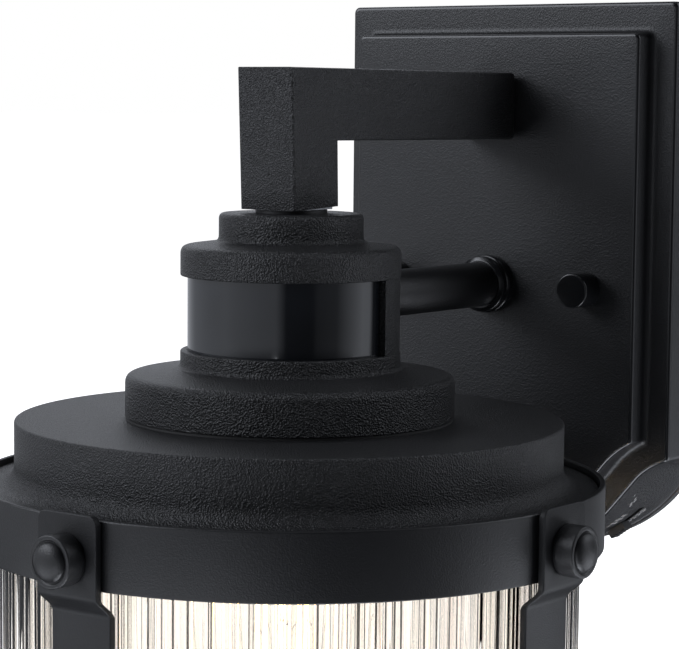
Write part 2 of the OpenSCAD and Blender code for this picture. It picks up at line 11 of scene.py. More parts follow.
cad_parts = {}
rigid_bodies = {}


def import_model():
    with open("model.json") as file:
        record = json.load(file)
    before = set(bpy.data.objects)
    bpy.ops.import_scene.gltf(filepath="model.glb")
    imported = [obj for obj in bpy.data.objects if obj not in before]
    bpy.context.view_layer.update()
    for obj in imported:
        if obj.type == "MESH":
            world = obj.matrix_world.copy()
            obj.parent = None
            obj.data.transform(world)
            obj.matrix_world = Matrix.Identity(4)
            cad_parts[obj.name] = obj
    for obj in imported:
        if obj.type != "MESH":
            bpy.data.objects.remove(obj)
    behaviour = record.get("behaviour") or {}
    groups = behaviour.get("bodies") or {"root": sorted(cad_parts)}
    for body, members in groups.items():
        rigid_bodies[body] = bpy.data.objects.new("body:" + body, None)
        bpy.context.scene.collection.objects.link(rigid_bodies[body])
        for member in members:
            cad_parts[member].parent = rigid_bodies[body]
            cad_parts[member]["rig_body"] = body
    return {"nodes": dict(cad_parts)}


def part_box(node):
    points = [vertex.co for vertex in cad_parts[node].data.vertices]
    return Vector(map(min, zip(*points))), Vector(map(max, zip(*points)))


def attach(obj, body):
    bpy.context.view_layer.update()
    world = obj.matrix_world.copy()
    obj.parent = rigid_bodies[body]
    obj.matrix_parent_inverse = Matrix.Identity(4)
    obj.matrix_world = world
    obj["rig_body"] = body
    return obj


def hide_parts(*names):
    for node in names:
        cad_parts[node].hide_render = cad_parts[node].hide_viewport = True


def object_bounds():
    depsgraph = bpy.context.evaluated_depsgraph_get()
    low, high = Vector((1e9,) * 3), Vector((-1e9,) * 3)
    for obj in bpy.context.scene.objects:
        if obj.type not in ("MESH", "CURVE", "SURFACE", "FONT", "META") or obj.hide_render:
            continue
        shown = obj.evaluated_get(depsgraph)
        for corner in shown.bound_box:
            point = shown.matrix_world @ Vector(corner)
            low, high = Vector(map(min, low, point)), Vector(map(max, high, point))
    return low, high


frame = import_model()
cad_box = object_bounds()
MM = 0.001
RNG = random.Random(7)


# ---- Sizes, read from the frame where it has them

def size_of(node):
    """Lowest corner, highest corner and centre of a CAD node."""
    low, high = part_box(node)
    return low, high, (low + high) / 2


# Glass, and the lantern's upright axis through its middle
glass_low, glass_high, glass_mid = size_of("glass_shade")
AXIS_Y = glass_mid.y
GLASS_R = (glass_high.x - glass_low.x) / 2
GLASS_T = 4 * MM

# Band round the top of the glass, and the lid's flange and straight wall
band_low, band_high, _ = size_of("top_band")
BAND_R = (band_high.x - band_low.x) / 2
lid_low, lid_high, _ = size_of("lantern_lid")
LID_RIM_R = (lid_high.x - lid_low.x) / 2
LID_R = 88.2 * MM

# Sensor head: its flange, wide tier and small tier, and the window's ends and sweep in degrees
head_low, head_high, _ = size_of("sensor_housing")
FLANGE_R = (head_high.x - head_low.x) / 2
HEAD_R = 35.4 * MM
CROWN_R = 23.2 * MM
WINDOW_TOP = 9.1 * MM
WINDOW_FOOT = -14.8 * MM
lens_low, lens_high, _ = size_of("sensor_lens")
LENS_R = (lens_high.x - lens_low.x) / 2
LENS_ANGLE = 192

# Pan: how far its border and its raised panel stand out from the wall, its rolled rim, the
# width of the border, and how much wider the border is along the top
pan_low, pan_high, _ = size_of("backplate")
PAN_OUT = 50 * MM
PANEL_OUT = -pan_low.y
PANEL_INSET = 9.5 * MM
TOP_BORDER = 1.15
RIM_OUT = 1.3 * MM
PAN_HALF = pan_high.x - RIM_OUT
PAN_TOP = pan_high.z - TOP_BORDER * RIM_OUT
PAN_GAP = -pan_high.y

POST_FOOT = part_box("arm_post")[0].z

# Knobs and straps: angle of each side, seen from above
SIDES = {"front": 0, "right": 90, "back": 180, "left": 270}


def at_axis(angle=0.0, z=0.0):
    """Place on the lantern's axis, turned by an angle in degrees seen from above."""
    return Matrix.Translation((0, AXIS_Y, z)) @ Matrix.Rotation(math.radians(angle), 4, "Z")


def facing_out(x, z, y):
    """Place whose local Z points away from the wall."""
    return Matrix.Translation((x, y, z)) @ Matrix.Rotation(math.radians(90), 4, "X")


# ---- Mesh helpers

# Points closer than this to the axis are on it, and points closer than WELD are one
ON_AXIS = 0.0001 * MM
WELD = 0.001 * MM
# Copies of CAD nodes: faces within FLAT_WITHIN degrees are merged, edges past SHARP_PAST rounded
FLAT_WITHIN = 0.5
SHARP_PAST = 30


def finish_mesh(name, bm, material, sharp=32.0):
    """Turns a bmesh into an object with outward normals and edges sharp past an angle."""
    bmesh.ops.recalc_face_normals(bm, faces=bm.faces)
    mesh = bpy.data.meshes.new(name)
    bm.to_mesh(mesh)
    bm.free()
    for poly in mesh.polygons:
        poly.use_smooth = True
    mesh.set_sharp_from_angle(angle=math.radians(sharp))
    mesh.materials.append(material)
    obj = bpy.data.objects.new(name, mesh)
    bpy.context.scene.collection.objects.link(obj)
    return obj


def install(obj, body, slot, *nodes):
    """Rides on a body and stands for CAD nodes. Its slot argument is not used."""
    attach(obj, body)
    if nodes:
        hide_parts(*nodes)
    return obj


def rounded(corners, steps=6, closed=True):
    """Outline through corners (x, y, radius), each corner rounded to its radius."""
    points = []
    count = len(corners)
    for i, (x, y, radius) in enumerate(corners):
        here = Vector((x, y))
        if radius <= 0 or (not closed and i in (0, count - 1)):
            points.append(here)
            continue
        before = Vector(corners[i - 1][:2]) - here
        after = Vector(corners[(i + 1) % count][:2]) - here
        half = before.angle(after) / 2
        reach = min(radius / math.tan(half), 0.49 * before.length, 0.49 * after.length)
        start = here + before.normalized() * reach
        end = here + after.normalized() * reach
        for k in range(steps + 1):
            t = k / steps
            points.append((1 - t) ** 2 * start + 2 * t * (1 - t) * here + t ** 2 * end)
    return points


def arc_points(cx, cz, radius, start, end, steps):
    """Points along an arc, both ends included."""
    return [Vector((cx + radius * math.cos(start + (end - start) * k / steps),
                    cz + radius * math.sin(start + (end - start) * k / steps)))
            for k in range(steps + 1)]


def join_loops(bm, loops):
    """Faces between each closed loop of vertices and the next, which has as many."""
    for one, two in zip(loops, loops[1:]):
        for k in range(len(one)):
            n = (k + 1) % len(one)
            bm.faces.new((one[k], one[n], two[n], two[k]))


def lathe(name, profile, material, place, segments, sweep=(0.0, 360.0)):
    """Revolves a closed (radius, height) profile about local Z, through a range in degrees."""
    bm = bmesh.new()
    full = abs(sweep[1] - sweep[0]) >= 360
    count = segments if full else segments + 1
    rings = []
    for radius, height in profile:
        if radius < ON_AXIS:
            rings.append([bm.verts.new(place @ Vector((0, 0, height)))] * count)
            continue
        ring = []
        for k in range(count):
            a = math.radians(sweep[0] + (sweep[1] - sweep[0]) * k / segments)
            local = Vector((radius * math.cos(a), radius * math.sin(a), height))
            ring.append(bm.verts.new(place @ local))
        rings.append(ring)
    for i in range(len(rings)):
        one, two = rings[i], rings[(i + 1) % len(rings)]
        if one[0] is one[1] and two[0] is two[1]:
            continue
        for k in range(segments):
            n = (k + 1) % count
            corners = []
            for v in (one[k], one[n], two[n], two[k]):
                if v not in corners:
                    corners.append(v)
            if len(corners) > 2:
                bm.faces.new(corners)
    if not full:
        for k in (0, count - 1):
            bm.faces.new([ring[k] for ring in rings])
    return finish_mesh(name, bm, material)


def round_edges(bm, edges, offset, segments=3):
    """Rounds edges of a bmesh."""
    bmesh.ops.bevel(bm, geom=edges, offset=offset, segments=segments, profile=0.5,
                    affect="EDGES", clamp_overlap=True)


def refine(node, material, bevel, segments=3):
    """Replaces a black coated CAD node by a copy whose sharp edges are rounded."""
    bm = bmesh.new()
    bm.from_mesh(frame["nodes"][node].data)
    bmesh.ops.remove_doubles(bm, verts=bm.verts, dist=WELD)
    bmesh.ops.dissolve_limit(bm, angle_limit=math.radians(FLAT_WITHIN), verts=bm.verts, edges=bm.edges)
    if bevel > 0:
        edges = [e for e in bm.edges
                 if len(e.link_faces) == 2 and e.calc_face_angle(0) > math.radians(SHARP_PAST)]
        round_edges(bm, edges, bevel, segments)
    obj = finish_mesh("fine_" + node, bm, material, SHARP_PAST)
    return install(obj, frame["nodes"][node]["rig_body"], "black_coat", node)


# ---- Materials

# Width of the brighter line along an edge of the black coat: partly real rubbing of the paint, partly a
# painted highlight
RUBBED_AND_HIGHLIT_WIDTH = 0.5 * MM


class Paint:
    """A small wrapper that adds shader nodes and links them."""

    def __init__(self, name):
        self.material = bpy.data.materials.new(name)
        self.material.use_nodes = True
        self.tree = self.material.node_tree
        self.tree.nodes.clear()
        self.out = self.tree.nodes.new("ShaderNodeOutputMaterial")
        self.shader = self.tree.nodes.new("ShaderNodeBsdfPrincipled")
        self.link(self.shader, "BSDF", self.out, "Surface")
        self.coords = self.tree.nodes.new("ShaderNodeTexCoord")

    def link(self, a, a_socket, b, b_socket):
        self.tree.links.new(a.outputs[a_socket], b.inputs[b_socket])

    def node(self, kind, **values):
        """Adds a node and sets its sockets or settings by name."""
        made = self.tree.nodes.new(kind)
        for key, value in values.items():
            if key in made.inputs:
                made.inputs[key].default_value = value
            else:
                setattr(made, key, value)
        return made

    def noise(self, scale, detail=3.0, rough=0.55, stretch=None):
        """Noise over the object, drawn out along an axis whose stretch is small."""
        made = self.node("ShaderNodeTexNoise", Scale=scale, Detail=detail, Roughness=rough)
        if stretch:
            mapping = self.node("ShaderNodeMapping", Scale=stretch)
            self.link(self.coords, "Object", mapping, "Vector")
            self.link(mapping, "Vector", made, "Vector")
        else:
            self.link(self.coords, "Object", made, "Vector")
        return made

    def cells(self, scale):
        """Round grains over the object."""
        made = self.node("ShaderNodeTexVoronoi", Scale=scale, feature="SMOOTH_F1", Smoothness=0.4)
        self.link(self.coords, "Object", made, "Vector")
        return made

    def ramp(self, source, socket, stops):
        """Colours at stops from 0 to 1 of a value."""
        made = self.tree.nodes.new("ShaderNodeValToRGB")
        while len(made.color_ramp.elements) < len(stops):
            made.color_ramp.elements.new(0.5)
        for element, (at, colour) in zip(made.color_ramp.elements, stops):
            element.position = at
            element.color = (*colour, 1.0)
        self.link(source, socket, made, "Fac")
        return made

    def span(self, source, socket, low, high, start, end):
        """Low where the value is start, high where it is end, and even between them."""
        made = self.node("ShaderNodeMapRange")
        made.inputs["From Min"].default_value = start
        made.inputs["From Max"].default_value = end
        made.inputs["To Min"].default_value = low
        made.inputs["To Max"].default_value = high
        self.link(source, socket, made, "Value")
        return made

    def times(self, a, a_socket, b, b_socket=None):
        """Product of a value and either another node's value or a number."""
        made = self.node("ShaderNodeMath", operation="MULTIPLY")
        self.tree.links.new(a.outputs[a_socket], made.inputs[0])
        if b_socket:
            self.tree.links.new(b.outputs[b_socket], made.inputs[1])
        else:
            made.inputs[1].default_value = b
        return made

    def bump(self, source, socket, distance, strength, under=None):
        """Surface relief, laid over another relief if one is given."""
        made = self.node("ShaderNodeBump", Strength=strength, Distance=distance)
        self.link(source, socket, made, "Height")
        if under:
            self.link(under, "Normal", made, "Normal")
        return made

    def edges(self, radius):
        """1 along convex and concave edges, 0 on flat ground."""
        soft = self.node("ShaderNodeBevel", Radius=radius, samples=4)
        hard = self.tree.nodes.new("ShaderNodeNewGeometry")
        dot = self.node("ShaderNodeVectorMath", operation="DOT_PRODUCT")
        self.tree.links.new(soft.outputs["Normal"], dot.inputs[0])
        self.tree.links.new(hard.outputs["Normal"], dot.inputs[1])
        return self.span(dot, "Value", 0.0, 1.0, 0.995, 0.90)

    def blend(self, factor, f_socket, a, b):
        """Mixes two colours, each a colour tuple or a (node, socket) pair."""
        made = self.node("ShaderNodeMix", data_type="RGBA")
        self.tree.links.new(factor.outputs[f_socket], made.inputs["Factor"])
        for index, value in ((6, a), (7, b)):
            if isinstance(value[0], float):
                made.inputs[index].default_value = (*value, 1.0)
            else:
                self.tree.links.new(value[0].outputs[value[1]], made.inputs[index])
        return made


def powder_coat(name, tone, rough, grain, depth, wear_and_highlight=0.5, shine=0.5):
    """Black coat: mottled tone, fine grain in the bump, edges painted a little brighter: partly real
    rubbing, partly a painted highlight.
    """
    p = Paint(name)
    mottle = p.noise(60, 4)
    fine = p.noise(2 * grain, 2, 0.6)
    lumps = p.cells(grain)
    dark = tuple(0.75 * c for c in tone)
    light = tuple(1.35 * c for c in tone)
    colour = p.ramp(mottle, "Fac", [(0.3, dark), (0.7, light)])
    # Edges are painted brighter: partly real rubbing of the paint, partly painted highlight lines where
    # edges catch the light.
    rubbed_and_highlit = p.times(p.edges(RUBBED_AND_HIGHLIT_WIDTH), "Result", p.noise(300, 3), "Fac")
    rubbed_and_highlit = p.times(rubbed_and_highlit, "Value", wear_and_highlight)
    worn_and_highlit = tuple(2.6 * c + 0.05 for c in tone)
    mixed = p.blend(rubbed_and_highlit, "Value", (colour, "Color"), worn_and_highlit)
    p.tree.links.new(mixed.outputs[2], p.shader.inputs["Base Color"])
    p.shader.inputs["Specular IOR Level"].default_value = shine
    spread = p.span(fine, "Fac", rough - 0.07, rough + 0.09, 0.25, 0.75)
    p.link(spread, "Result", p.shader, "Roughness")
    first = p.bump(lumps, "Distance", depth, 0.8)
    second = p.bump(fine, "Fac", 0.6 * depth, 0.7, first)
    p.link(second, "Normal", p.shader, "Normal")
    return p.material


def bare_metal(name, tone, rough, stretch=(1, 1, 1)):
    """Plated or plain metal with a fine grain, brushed where it is stretched."""
    p = Paint(name)
    p.shader.inputs["Metallic"].default_value = 1.0
    grain = p.noise(700, 4, 0.6, stretch)
    dark = tuple(0.7 * c for c in tone)
    colour = p.ramp(grain, "Fac", [(0.3, dark), (0.7, tone)])
    p.link(colour, "Color", p.shader, "Base Color")
    spread = p.span(grain, "Fac", rough - 0.08, rough + 0.12, 0.3, 0.7)
    p.link(spread, "Result", p.shader, "Roughness")
    p.link(p.bump(grain, "Fac", 0.02 * MM, 0.5), "Normal", p.shader, "Normal")
    return p.material


def moulded(name, tone, rough, grain=900, depth=0.02 * MM):
    """Plastic, rubber, china or paint: a blotchy tone and a fine grit."""
    p = Paint(name)
    grit = p.noise(grain, 3, 0.6)
    blotch = p.noise(45, 3)
    dark = tuple(0.8 * c for c in tone)
    colour = p.ramp(blotch, "Fac", [(0.3, dark), (0.75, tone)])
    p.link(colour, "Color", p.shader, "Base Color")
    spread = p.span(grit, "Fac", rough - 0.06, rough + 0.08, 0.3, 0.7)
    p.link(spread, "Result", p.shader, "Roughness")
    p.link(p.bump(grit, "Fac", depth, 0.7), "Normal", p.shader, "Normal")
    return p.material


def lens_plastic():
    """Dark shiny window with faint upright ripples and smears."""
    p = Paint("lens_plastic")
    haze = p.noise(35, 2)
    colour = p.ramp(haze, "Fac", [(0.3, (0.006, 0.007, 0.009)), (0.8, (0.014, 0.016, 0.02))])
    p.link(colour, "Color", p.shader, "Base Color")
    smear = p.noise(160, 3, 0.6, (1, 1, 0.25))
    spread = p.span(smear, "Fac", 0.05, 0.12, 0.3, 0.7)
    p.link(spread, "Result", p.shader, "Roughness")
    p.shader.inputs["Coat Weight"].default_value = 0.6
    p.shader.inputs["Coat Roughness"].default_value = 0.03
    ripple = p.noise(40, 1, 0.4, (1, 1, 0.05))
    p.link(p.bump(ripple, "Fac", 0.08 * MM, 0.3), "Normal", p.shader, "Normal")
    return p.material


def glass_paint(name, ripple):
    """Clear polished glass with shallow waves of the depth given, and no colour yet."""
    p = Paint(name)
    p.shader.inputs["Transmission Weight"].default_value = 1.0
    p.shader.inputs["IOR"].default_value = 1.5
    p.shader.inputs["Roughness"].default_value = 0.0
    waves = p.noise(90, 2, 0.5, (1, 1, 0.3))
    p.link(p.bump(waves, "Fac", ripple, 0.4), "Normal", p.shader, "Normal")
    return p


def clear_glass(name, tone):
    """Thin blown glass with a faint, uneven tint."""
    p = glass_paint(name, 0.01 * MM)
    tint = p.noise(25, 2)
    pale = tuple(min(1.0, 1.02 * c) for c in tone)
    colour = p.ramp(tint, "Fac", [(0.3, tone), (0.8, pale)])
    p.link(colour, "Color", p.shader, "Base Color")
    return p.material


def glass_with_painted_streaks(name):
    """Clear glass with painted streaks along the ribs: white and grey painted highlights and
    reflections, cream painted lamp glow, brown painted reflections of the dark parts behind.
    """
    p = glass_paint(name, 0.03 * MM)
    wide = p.noise(70, 2, 0.5, (1, 1, 0.02))
    thin = p.noise(420, 3, 0.7, (1, 1, 0.012))
    # Cream bands are the painted glow of the lamp; white, grey and brown streaks are painted highlights
    # and painted reflections of the dark parts behind the glass.
    painted_glow = p.ramp(wide, "Fac", [(0.3, (0.97, 0.9, 0.84)), (0.45, (0.93, 0.92, 0.9)),
                                (0.55, (1.0, 0.96, 0.88)), (0.7, (0.95, 0.92, 0.9))])
    painted_streaks = p.ramp(thin, "Fac", [(0.28, (0.4, 0.32, 0.26)), (0.34, (0.78, 0.74, 0.7)),
                                 (0.43, (0.97, 0.96, 0.95)), (0.52, (0.9, 0.88, 0.86)),
                                 (0.58, (1.0, 0.99, 0.98)), (0.68, (0.82, 0.81, 0.8))])
    both = p.node("ShaderNodeMix", data_type="RGBA", blend_type="MULTIPLY")
    both.inputs["Factor"].default_value = 1.0
    p.tree.links.new(painted_glow.outputs["Color"], both.inputs[6])
    p.tree.links.new(painted_streaks.outputs["Color"], both.inputs[7])
    p.tree.links.new(both.outputs[2], p.shader.inputs["Base Color"])
    return p.material


def glowing(name, tone, strength):
    """Hot wire that glows unevenly along its length."""
    p = Paint(name)
    flicker = p.noise(900, 2)
    dim = tuple(0.7 * c for c in tone)
    colour = p.ramp(flicker, "Fac", [(0.3, dim), (0.7, tone)])
    p.link(colour, "Color", p.shader, "Emission Color")
    p.link(colour, "Color", p.shader, "Base Color")
    p.shader.inputs["Emission Strength"].default_value = strength
    return p.material


BLACK = (0.005, 0.0052, 0.006)
COAT = powder_coat("black_coat", BLACK, 0.42, 1900, 0.06 * MM)
MATT = powder_coat("strap_coat", BLACK, 0.5, 1900, 0.05 * MM, shine=0.36)
SATIN = powder_coat("satin_coat", BLACK, 0.42, 1700, 0.1 * MM)
GRAIN = powder_coat("grained_coat", BLACK, 0.33, 1700, 0.62 * MM)
CRISP = powder_coat("crisp_coat", BLACK, 0.38, 1800, 0.5 * MM)
# The polished and cast coats paint their edges brighter more strongly: partly real rubbing, partly
# painted highlight lines.
GLOSS = powder_coat("polished_coat", BLACK, 0.2, 2200, 0.008 * MM, 1.6)
BELLY = powder_coat("cast_coat", BLACK, 0.34, 1200, 0.6 * MM, 1.0)
PAINT = moulded("mark_paint", (0.5, 0.5, 0.5), 0.5)
RUBBER = moulded("seal_rubber", (0.02, 0.02, 0.02), 0.7)
ZINC = bare_metal("zinc_steel", (0.62, 0.63, 0.65), 0.34)
BRASS = bare_metal("plain_brass", (0.78, 0.58, 0.28), 0.3)
NICKEL = bare_metal("nickel_cap", (0.72, 0.7, 0.66), 0.25, (1, 1, 6))
GREEN = bare_metal("green_screw", (0.08, 0.4, 0.16), 0.4)
LENS = lens_plastic()
GLASS = glass_with_painted_streaks("ribbed_glass")
BULB = clear_glass("bulb_glass", (1.0, 0.985, 0.95))
PORCELAIN = moulded("porcelain", (0.78, 0.76, 0.72), 0.25, 400, 0.01 * MM)
BOARD = moulded("circuit_board", (0.03, 0.2, 0.08), 0.4)
PLASTIC = moulded("plain_plastic", (0.02, 0.02, 0.022), 0.5)
WIRE = moulded("wire_cover", (0.3, 0.3, 0.3), 0.5)
CONNECTOR = moulded("connector_plastic", (0.75, 0.25, 0.04), 0.4)
FILAMENT = glowing("filament", (1.0, 0.6, 0.25), 18.0)


# ---- Back pan

# Outline of the pan's foot, seen from the front: a shoulder on each side, then a hollow
# cove, then one round belly. COVE_X and COVE_Z are the cove's centre, and TURN is the
# angle at which the cove runs into the belly.
COVE_R = 26 * MM
COVE_LEAD = math.radians(15)
SHOULDER_Z = -59.3 * MM
BELLY_R = 62 * MM
BELLY_Z = -37.5 * MM
COVE_X = PAN_HALF + COVE_R * math.sin(COVE_LEAD)
COVE_Z = SHOULDER_Z - COVE_R * math.cos(COVE_LEAD)
LINK = Vector((-COVE_X, BELLY_Z - COVE_Z))
TURN = math.atan2(LINK.y, LINK.x) - math.acos((COVE_R + BELLY_R) / LINK.length)
# Height over which the shoulder's tip is softened
TIP_SOFT = 1.6 * MM


def pan_loop(inset, corner):
    """Outline of the pan shrunk by an inset, as (x, z), with the same count at every inset."""
    side = PAN_HALF - inset
    top = PAN_TOP - TOP_BORDER * inset
    shoulder = math.acos((side - COVE_X) / (COVE_R + inset))
    half = arc_points(0, BELLY_Z, BELLY_R - inset, -math.pi / 2, TURN - math.pi, 18)
    cove = arc_points(COVE_X, COVE_Z, COVE_R + inset, TURN, shoulder, 14)
    tip = cove.pop()
    rise = Vector((side, tip.y + TIP_SOFT))
    before = cove[-1]
    half += cove
    half += [(1 - t) ** 2 * before + 2 * t * (1 - t) * tip + t * t * rise
             for t in (0.25, 0.5, 0.75, 1)]
    half += arc_points(side - corner, top - corner, corner, 0, math.pi / 2, 5)
    return half + [Vector((-p.x, p.y)) for p in reversed(half[1:])]


def cut(obj, cutter):
    """Boolean difference, applied, after which the cutter is deleted."""
    modifier = obj.modifiers.new("cut", "BOOLEAN")
    modifier.operation = "DIFFERENCE"
    modifier.solver = "EXACT"
    modifier.object = cutter
    bpy.context.view_layer.update()
    depsgraph = bpy.context.evaluated_depsgraph_get()
    mesh = bpy.data.meshes.new_from_object(obj.evaluated_get(depsgraph))
    obj.modifiers.clear()
    obj.data = mesh
    bpy.data.objects.remove(cutter)


def box_at(low, high, place):
    """Plain box between two corners, in a place of its own, for cutting."""
    bm = bmesh.new()
    bmesh.ops.create_cube(bm, size=1.0)
    span = high - low
    middle = (high + low) / 2
    for v in bm.verts:
        v.co = place @ (Vector((v.co.x * span.x, v.co.y * span.y, v.co.z * span.z)) + middle)
    mesh = bpy.data.meshes.new("cutter")
    bm.to_mesh(mesh)
    bm.free()
    obj = bpy.data.objects.new("cutter", mesh)
    bpy.context.scene.collection.objects.link(obj)
    return obj


# The time slider's slot, on the belly: X out of the belly, Y away from the room, Z along it
SLIDER_ANGLE = math.radians(53.5)
SLIDER_OUT = 21 * MM
SLIDER_AT = (Matrix.Translation((0, -SLIDER_OUT, BELLY_Z))
             @ Matrix.Rotation(SLIDER_ANGLE, 4, "Y")
             @ Matrix.Translation((BELLY_R, 0, 0)))
SLOT_LOW = Vector((-8, -2, -8)) * MM
SLOT_HIGH = Vector((4, 2, 8)) * MM


def pan_coat(centre, normal):
    """Coat of a face of the pan: 0 satin, 1 cast under the belly, 2 polished on the edges."""
    out = -centre.y
    near_edge = any(edge - 1.5 * MM < out < edge - 0.01 * MM for edge in (PAN_OUT, PANEL_OUT))
    if near_edge and 0.08 < -normal.y < 0.99:
        return 2
    looks_down = abs(normal.y) < 0.2 and normal.z < -0.25
    if looks_down and centre.z < SHOULDER_Z and out < PAN_OUT - 1.2 * MM:
        return 1
    return 0


def make_pan():
    """Pan wall with a rolled rim, a rounded edge, and a raised panel with a sloping step."""
    wall = 2.2 * MM
    rim = PAN_GAP + 3 * MM
    inner_panel = PANEL_INSET + wall
    outside = rounded([
        (wall, PAN_GAP, 0), (-RIM_OUT, PAN_GAP, 0.4 * MM), (-RIM_OUT, rim, 0.9 * MM),
        (0, rim + 0.2 * MM, 0.8 * MM), (0, PAN_OUT, 1.4 * MM),
        (PANEL_INSET - 0.3 * MM, PAN_OUT, 2.2 * MM), (PANEL_INSET, PANEL_OUT, 1.3 * MM),
        (PANEL_INSET + 9 * MM, PANEL_OUT, 0)], steps=6, closed=False)
    inside = [(inner_panel + 7 * MM, PANEL_OUT - wall), (inner_panel, PANEL_OUT - wall),
              (inner_panel, PAN_OUT - wall), (wall, PAN_OUT - wall)]

    def corner_at(inset):
        """Radius of the outline's upper corners, widest at the foot of the panel's step."""
        root = max(0.0, 1 - abs(inset - (PANEL_INSET - 2 * MM)) / (3 * MM))
        return (1.3 + 2.4 * root + 0.7 * (inset < 2 * MM)) * MM

    bm = bmesh.new()

    def skin(levels, loops):
        """Surface through outlines at (inset, distance out), closed by the last one."""
        for inset, out in levels:
            ring = pan_loop(inset, corner_at(inset))
            loops.append([bm.verts.new((p.x, -out, p.y)) for p in ring])
        join_loops(bm, loops)
        bm.faces.new(loops[-1])
        return loops

    loops = skin([tuple(p) for p in outside], [])
    skin(list(reversed(inside)), [loops[0]])
    pan = finish_mesh("back_pan", bm, SATIN, 34)
    cut(pan, box_at(SLOT_LOW, SLOT_HIGH, SLIDER_AT))
    pan.data.materials.append(BELLY)
    pan.data.materials.append(GLOSS)
    for poly in pan.data.polygons:
        poly.material_index = pan_coat(poly.center, poly.normal)
    install(pan, "fixture", "black_coat", "backplate")


# Rows of dashes: distance from the slot's middle towards the wall, where the row starts
# along the slot, both in millimetres, and how many dashes it has
MARK_ROWS = ((3.4, -5, 5), (4.7, -4.5, 5), (6.0, -3, 4), (-7.8, 0, 3), (-9.2, 0, 3), (-10.6, -5, 5),
             (-12.0, 0, 2), (-13.2, 12, 2), (-14.5, 13, 2), (-17.5, 18, 2), (-18.5, 25, 2))
MARK_STEP = 2.5
MARK_WIDE = 0.5 * MM
MARK_THICK = 0.3 * MM


def make_time_marks():
    """Small painted dashes in rows on either side of the time slider's slot."""
    bm = bmesh.new()
    for across, first, count in MARK_ROWS:
        for k in range(count):
            along = (first + MARK_STEP * k + 0.5 * RNG.random()) * MM
            turn = Matrix.Rotation(-along / BELLY_R, 4, "Y")
            long = (1.0 + 0.7 * RNG.random()) * MM
            cube = bmesh.ops.create_cube(bm, size=1.0)
            for v in cube["verts"]:
                local = Vector((BELLY_R + v.co.x * MARK_THICK, across * MM + v.co.y * MARK_WIDE,
                                v.co.z * long))
                v.co = SLIDER_AT @ (turn @ local - Vector((BELLY_R, 0, 0)))
    install(finish_mesh("time_marks", bm, PAINT), "fixture", "black_coat")


make_pan()
make_time_marks()


# ---- Arm, post and conduit

def make_bar():
    """Post and arm as one bent bar: a rounded square section swept through the mitre."""
    half = 11.1 * MM
    soft = 1.1 * MM
    # Faces of the post, as distances behind the lantern's axis: it leans and tapers a little
    front_foot = -12.3 * MM
    front_top = -14.3 * MM
    back_foot = 10.7 * MM
    back_top = 10.15 * MM
    foot_front_z = POST_FOOT
    foot_back_z = POST_FOOT + 1.0 * MM
    # Lower and upper face of the arm at the bend, lower face at the panel
    arm_low = 52.3 * MM
    arm_high = 75.4 * MM
    arm_far_low = 51.9 * MM
    far = -AXIS_Y - PANEL_OUT

    def section(shrink):
        """Points (x, t): t runs from 0 on the inner side of the bend to 1 on the outer side."""
        high = arm_high - arm_low
        r = max(soft, shrink)
        corners = [(half - shrink, shrink), (half - shrink, high - shrink),
                   (shrink - half, high - shrink), (shrink - half, shrink)]
        points = rounded([(x, y, r) for x, y in corners], 5)
        return [(p.x, p.y / high) for p in points]

    bm = bmesh.new()
    rings = []

    def add(points, place):
        rings.append([bm.verts.new(place(x, t)) for x, t in points])

    end = 4.0 * MM
    for k in range(7):
        a = math.radians(90 * k / 6)
        shrink = end * (1 - math.sin(a))
        out = far - end * (1 - math.cos(a)) if k else far
        add(section(shrink), lambda x, t: Vector(
            (x, AXIS_Y + out, arm_far_low + t * (arm_high - arm_far_low))))
    add(section(0), lambda x, t: Vector((x, AXIS_Y + back_top + t * (front_top - back_top),
                                         arm_low + t * (arm_high - arm_low))))
    add(section(0), lambda x, t: Vector((x, AXIS_Y + back_foot + t * (front_foot - back_foot),
                                         foot_back_z + t * (foot_front_z - foot_back_z))))
    join_loops(bm, rings)
    bm.faces.new(rings[0])
    bm.faces.new(rings[-1])
    edges = [e for e in bm.edges if e.calc_face_angle(0) > math.radians(50)]
    round_edges(bm, edges, 0.7 * MM)
    bar = finish_mesh("arm_bar", bm, CRISP, 40)
    bar.data.materials.append(GRAIN)
    for poly in bar.data.polygons:
        poly.material_index = 1 if poly.normal.y < -0.6 else 0
    install(bar, "fixture", "black_coat", "arm_beam", "arm_post")


make_bar()
refine("conduit_tube", SATIN, 0.3 * MM)


def make_ferrule():
    """Collar on the panel: a thin front ring, a groove and a wider back ring."""
    low, high, mid = size_of("conduit_ferrule")
    outer = (high.x - low.x) / 2
    long = high.y - low.y
    bore = 8.0 * MM
    profile = rounded([
        (bore, 0, 0), (outer, 0, 0.3 * MM), (outer, 0.42 * long, 1.1 * MM),
        (outer - 1.3 * MM, 0.5 * long, 0.35 * MM), (outer - 0.5 * MM, 0.58 * long, 0.6 * MM),
        (outer - 0.4 * MM, 0.86 * long, 0.7 * MM), (bore + 0.5 * MM, long, 0.4 * MM),
        (bore, long, 0)], 5)
    obj = lathe("conduit_collar", profile, GLOSS, facing_out(mid.x, mid.z, high.y), 96)
    install(obj, "fixture", "black_coat", "conduit_ferrule")


make_ferrule()


def make_cap_nuts():
    """Two round nuts with a softened edge and a slightly raised rim."""
    low, high, _ = size_of("cap_nuts")
    radius = (high.z - low.z) / 2
    long = high.y - low.y
    for index, x in enumerate((low.x + radius, high.x - radius)):
        profile = rounded([
            (0, 0.1 * MM, 0), (radius, 0.1 * MM, 0.2 * MM), (radius, long, 0.7 * MM),
            (0, long - 0.15 * MM, 0)], 6)
        obj = lathe("cap_nut", profile, GLOSS, facing_out(x, 0, high.y), 72)
        install(obj, "fixture", "black_coat", *(["cap_nuts"] if index == 0 else []))


make_cap_nuts()


# ---- Sensor head

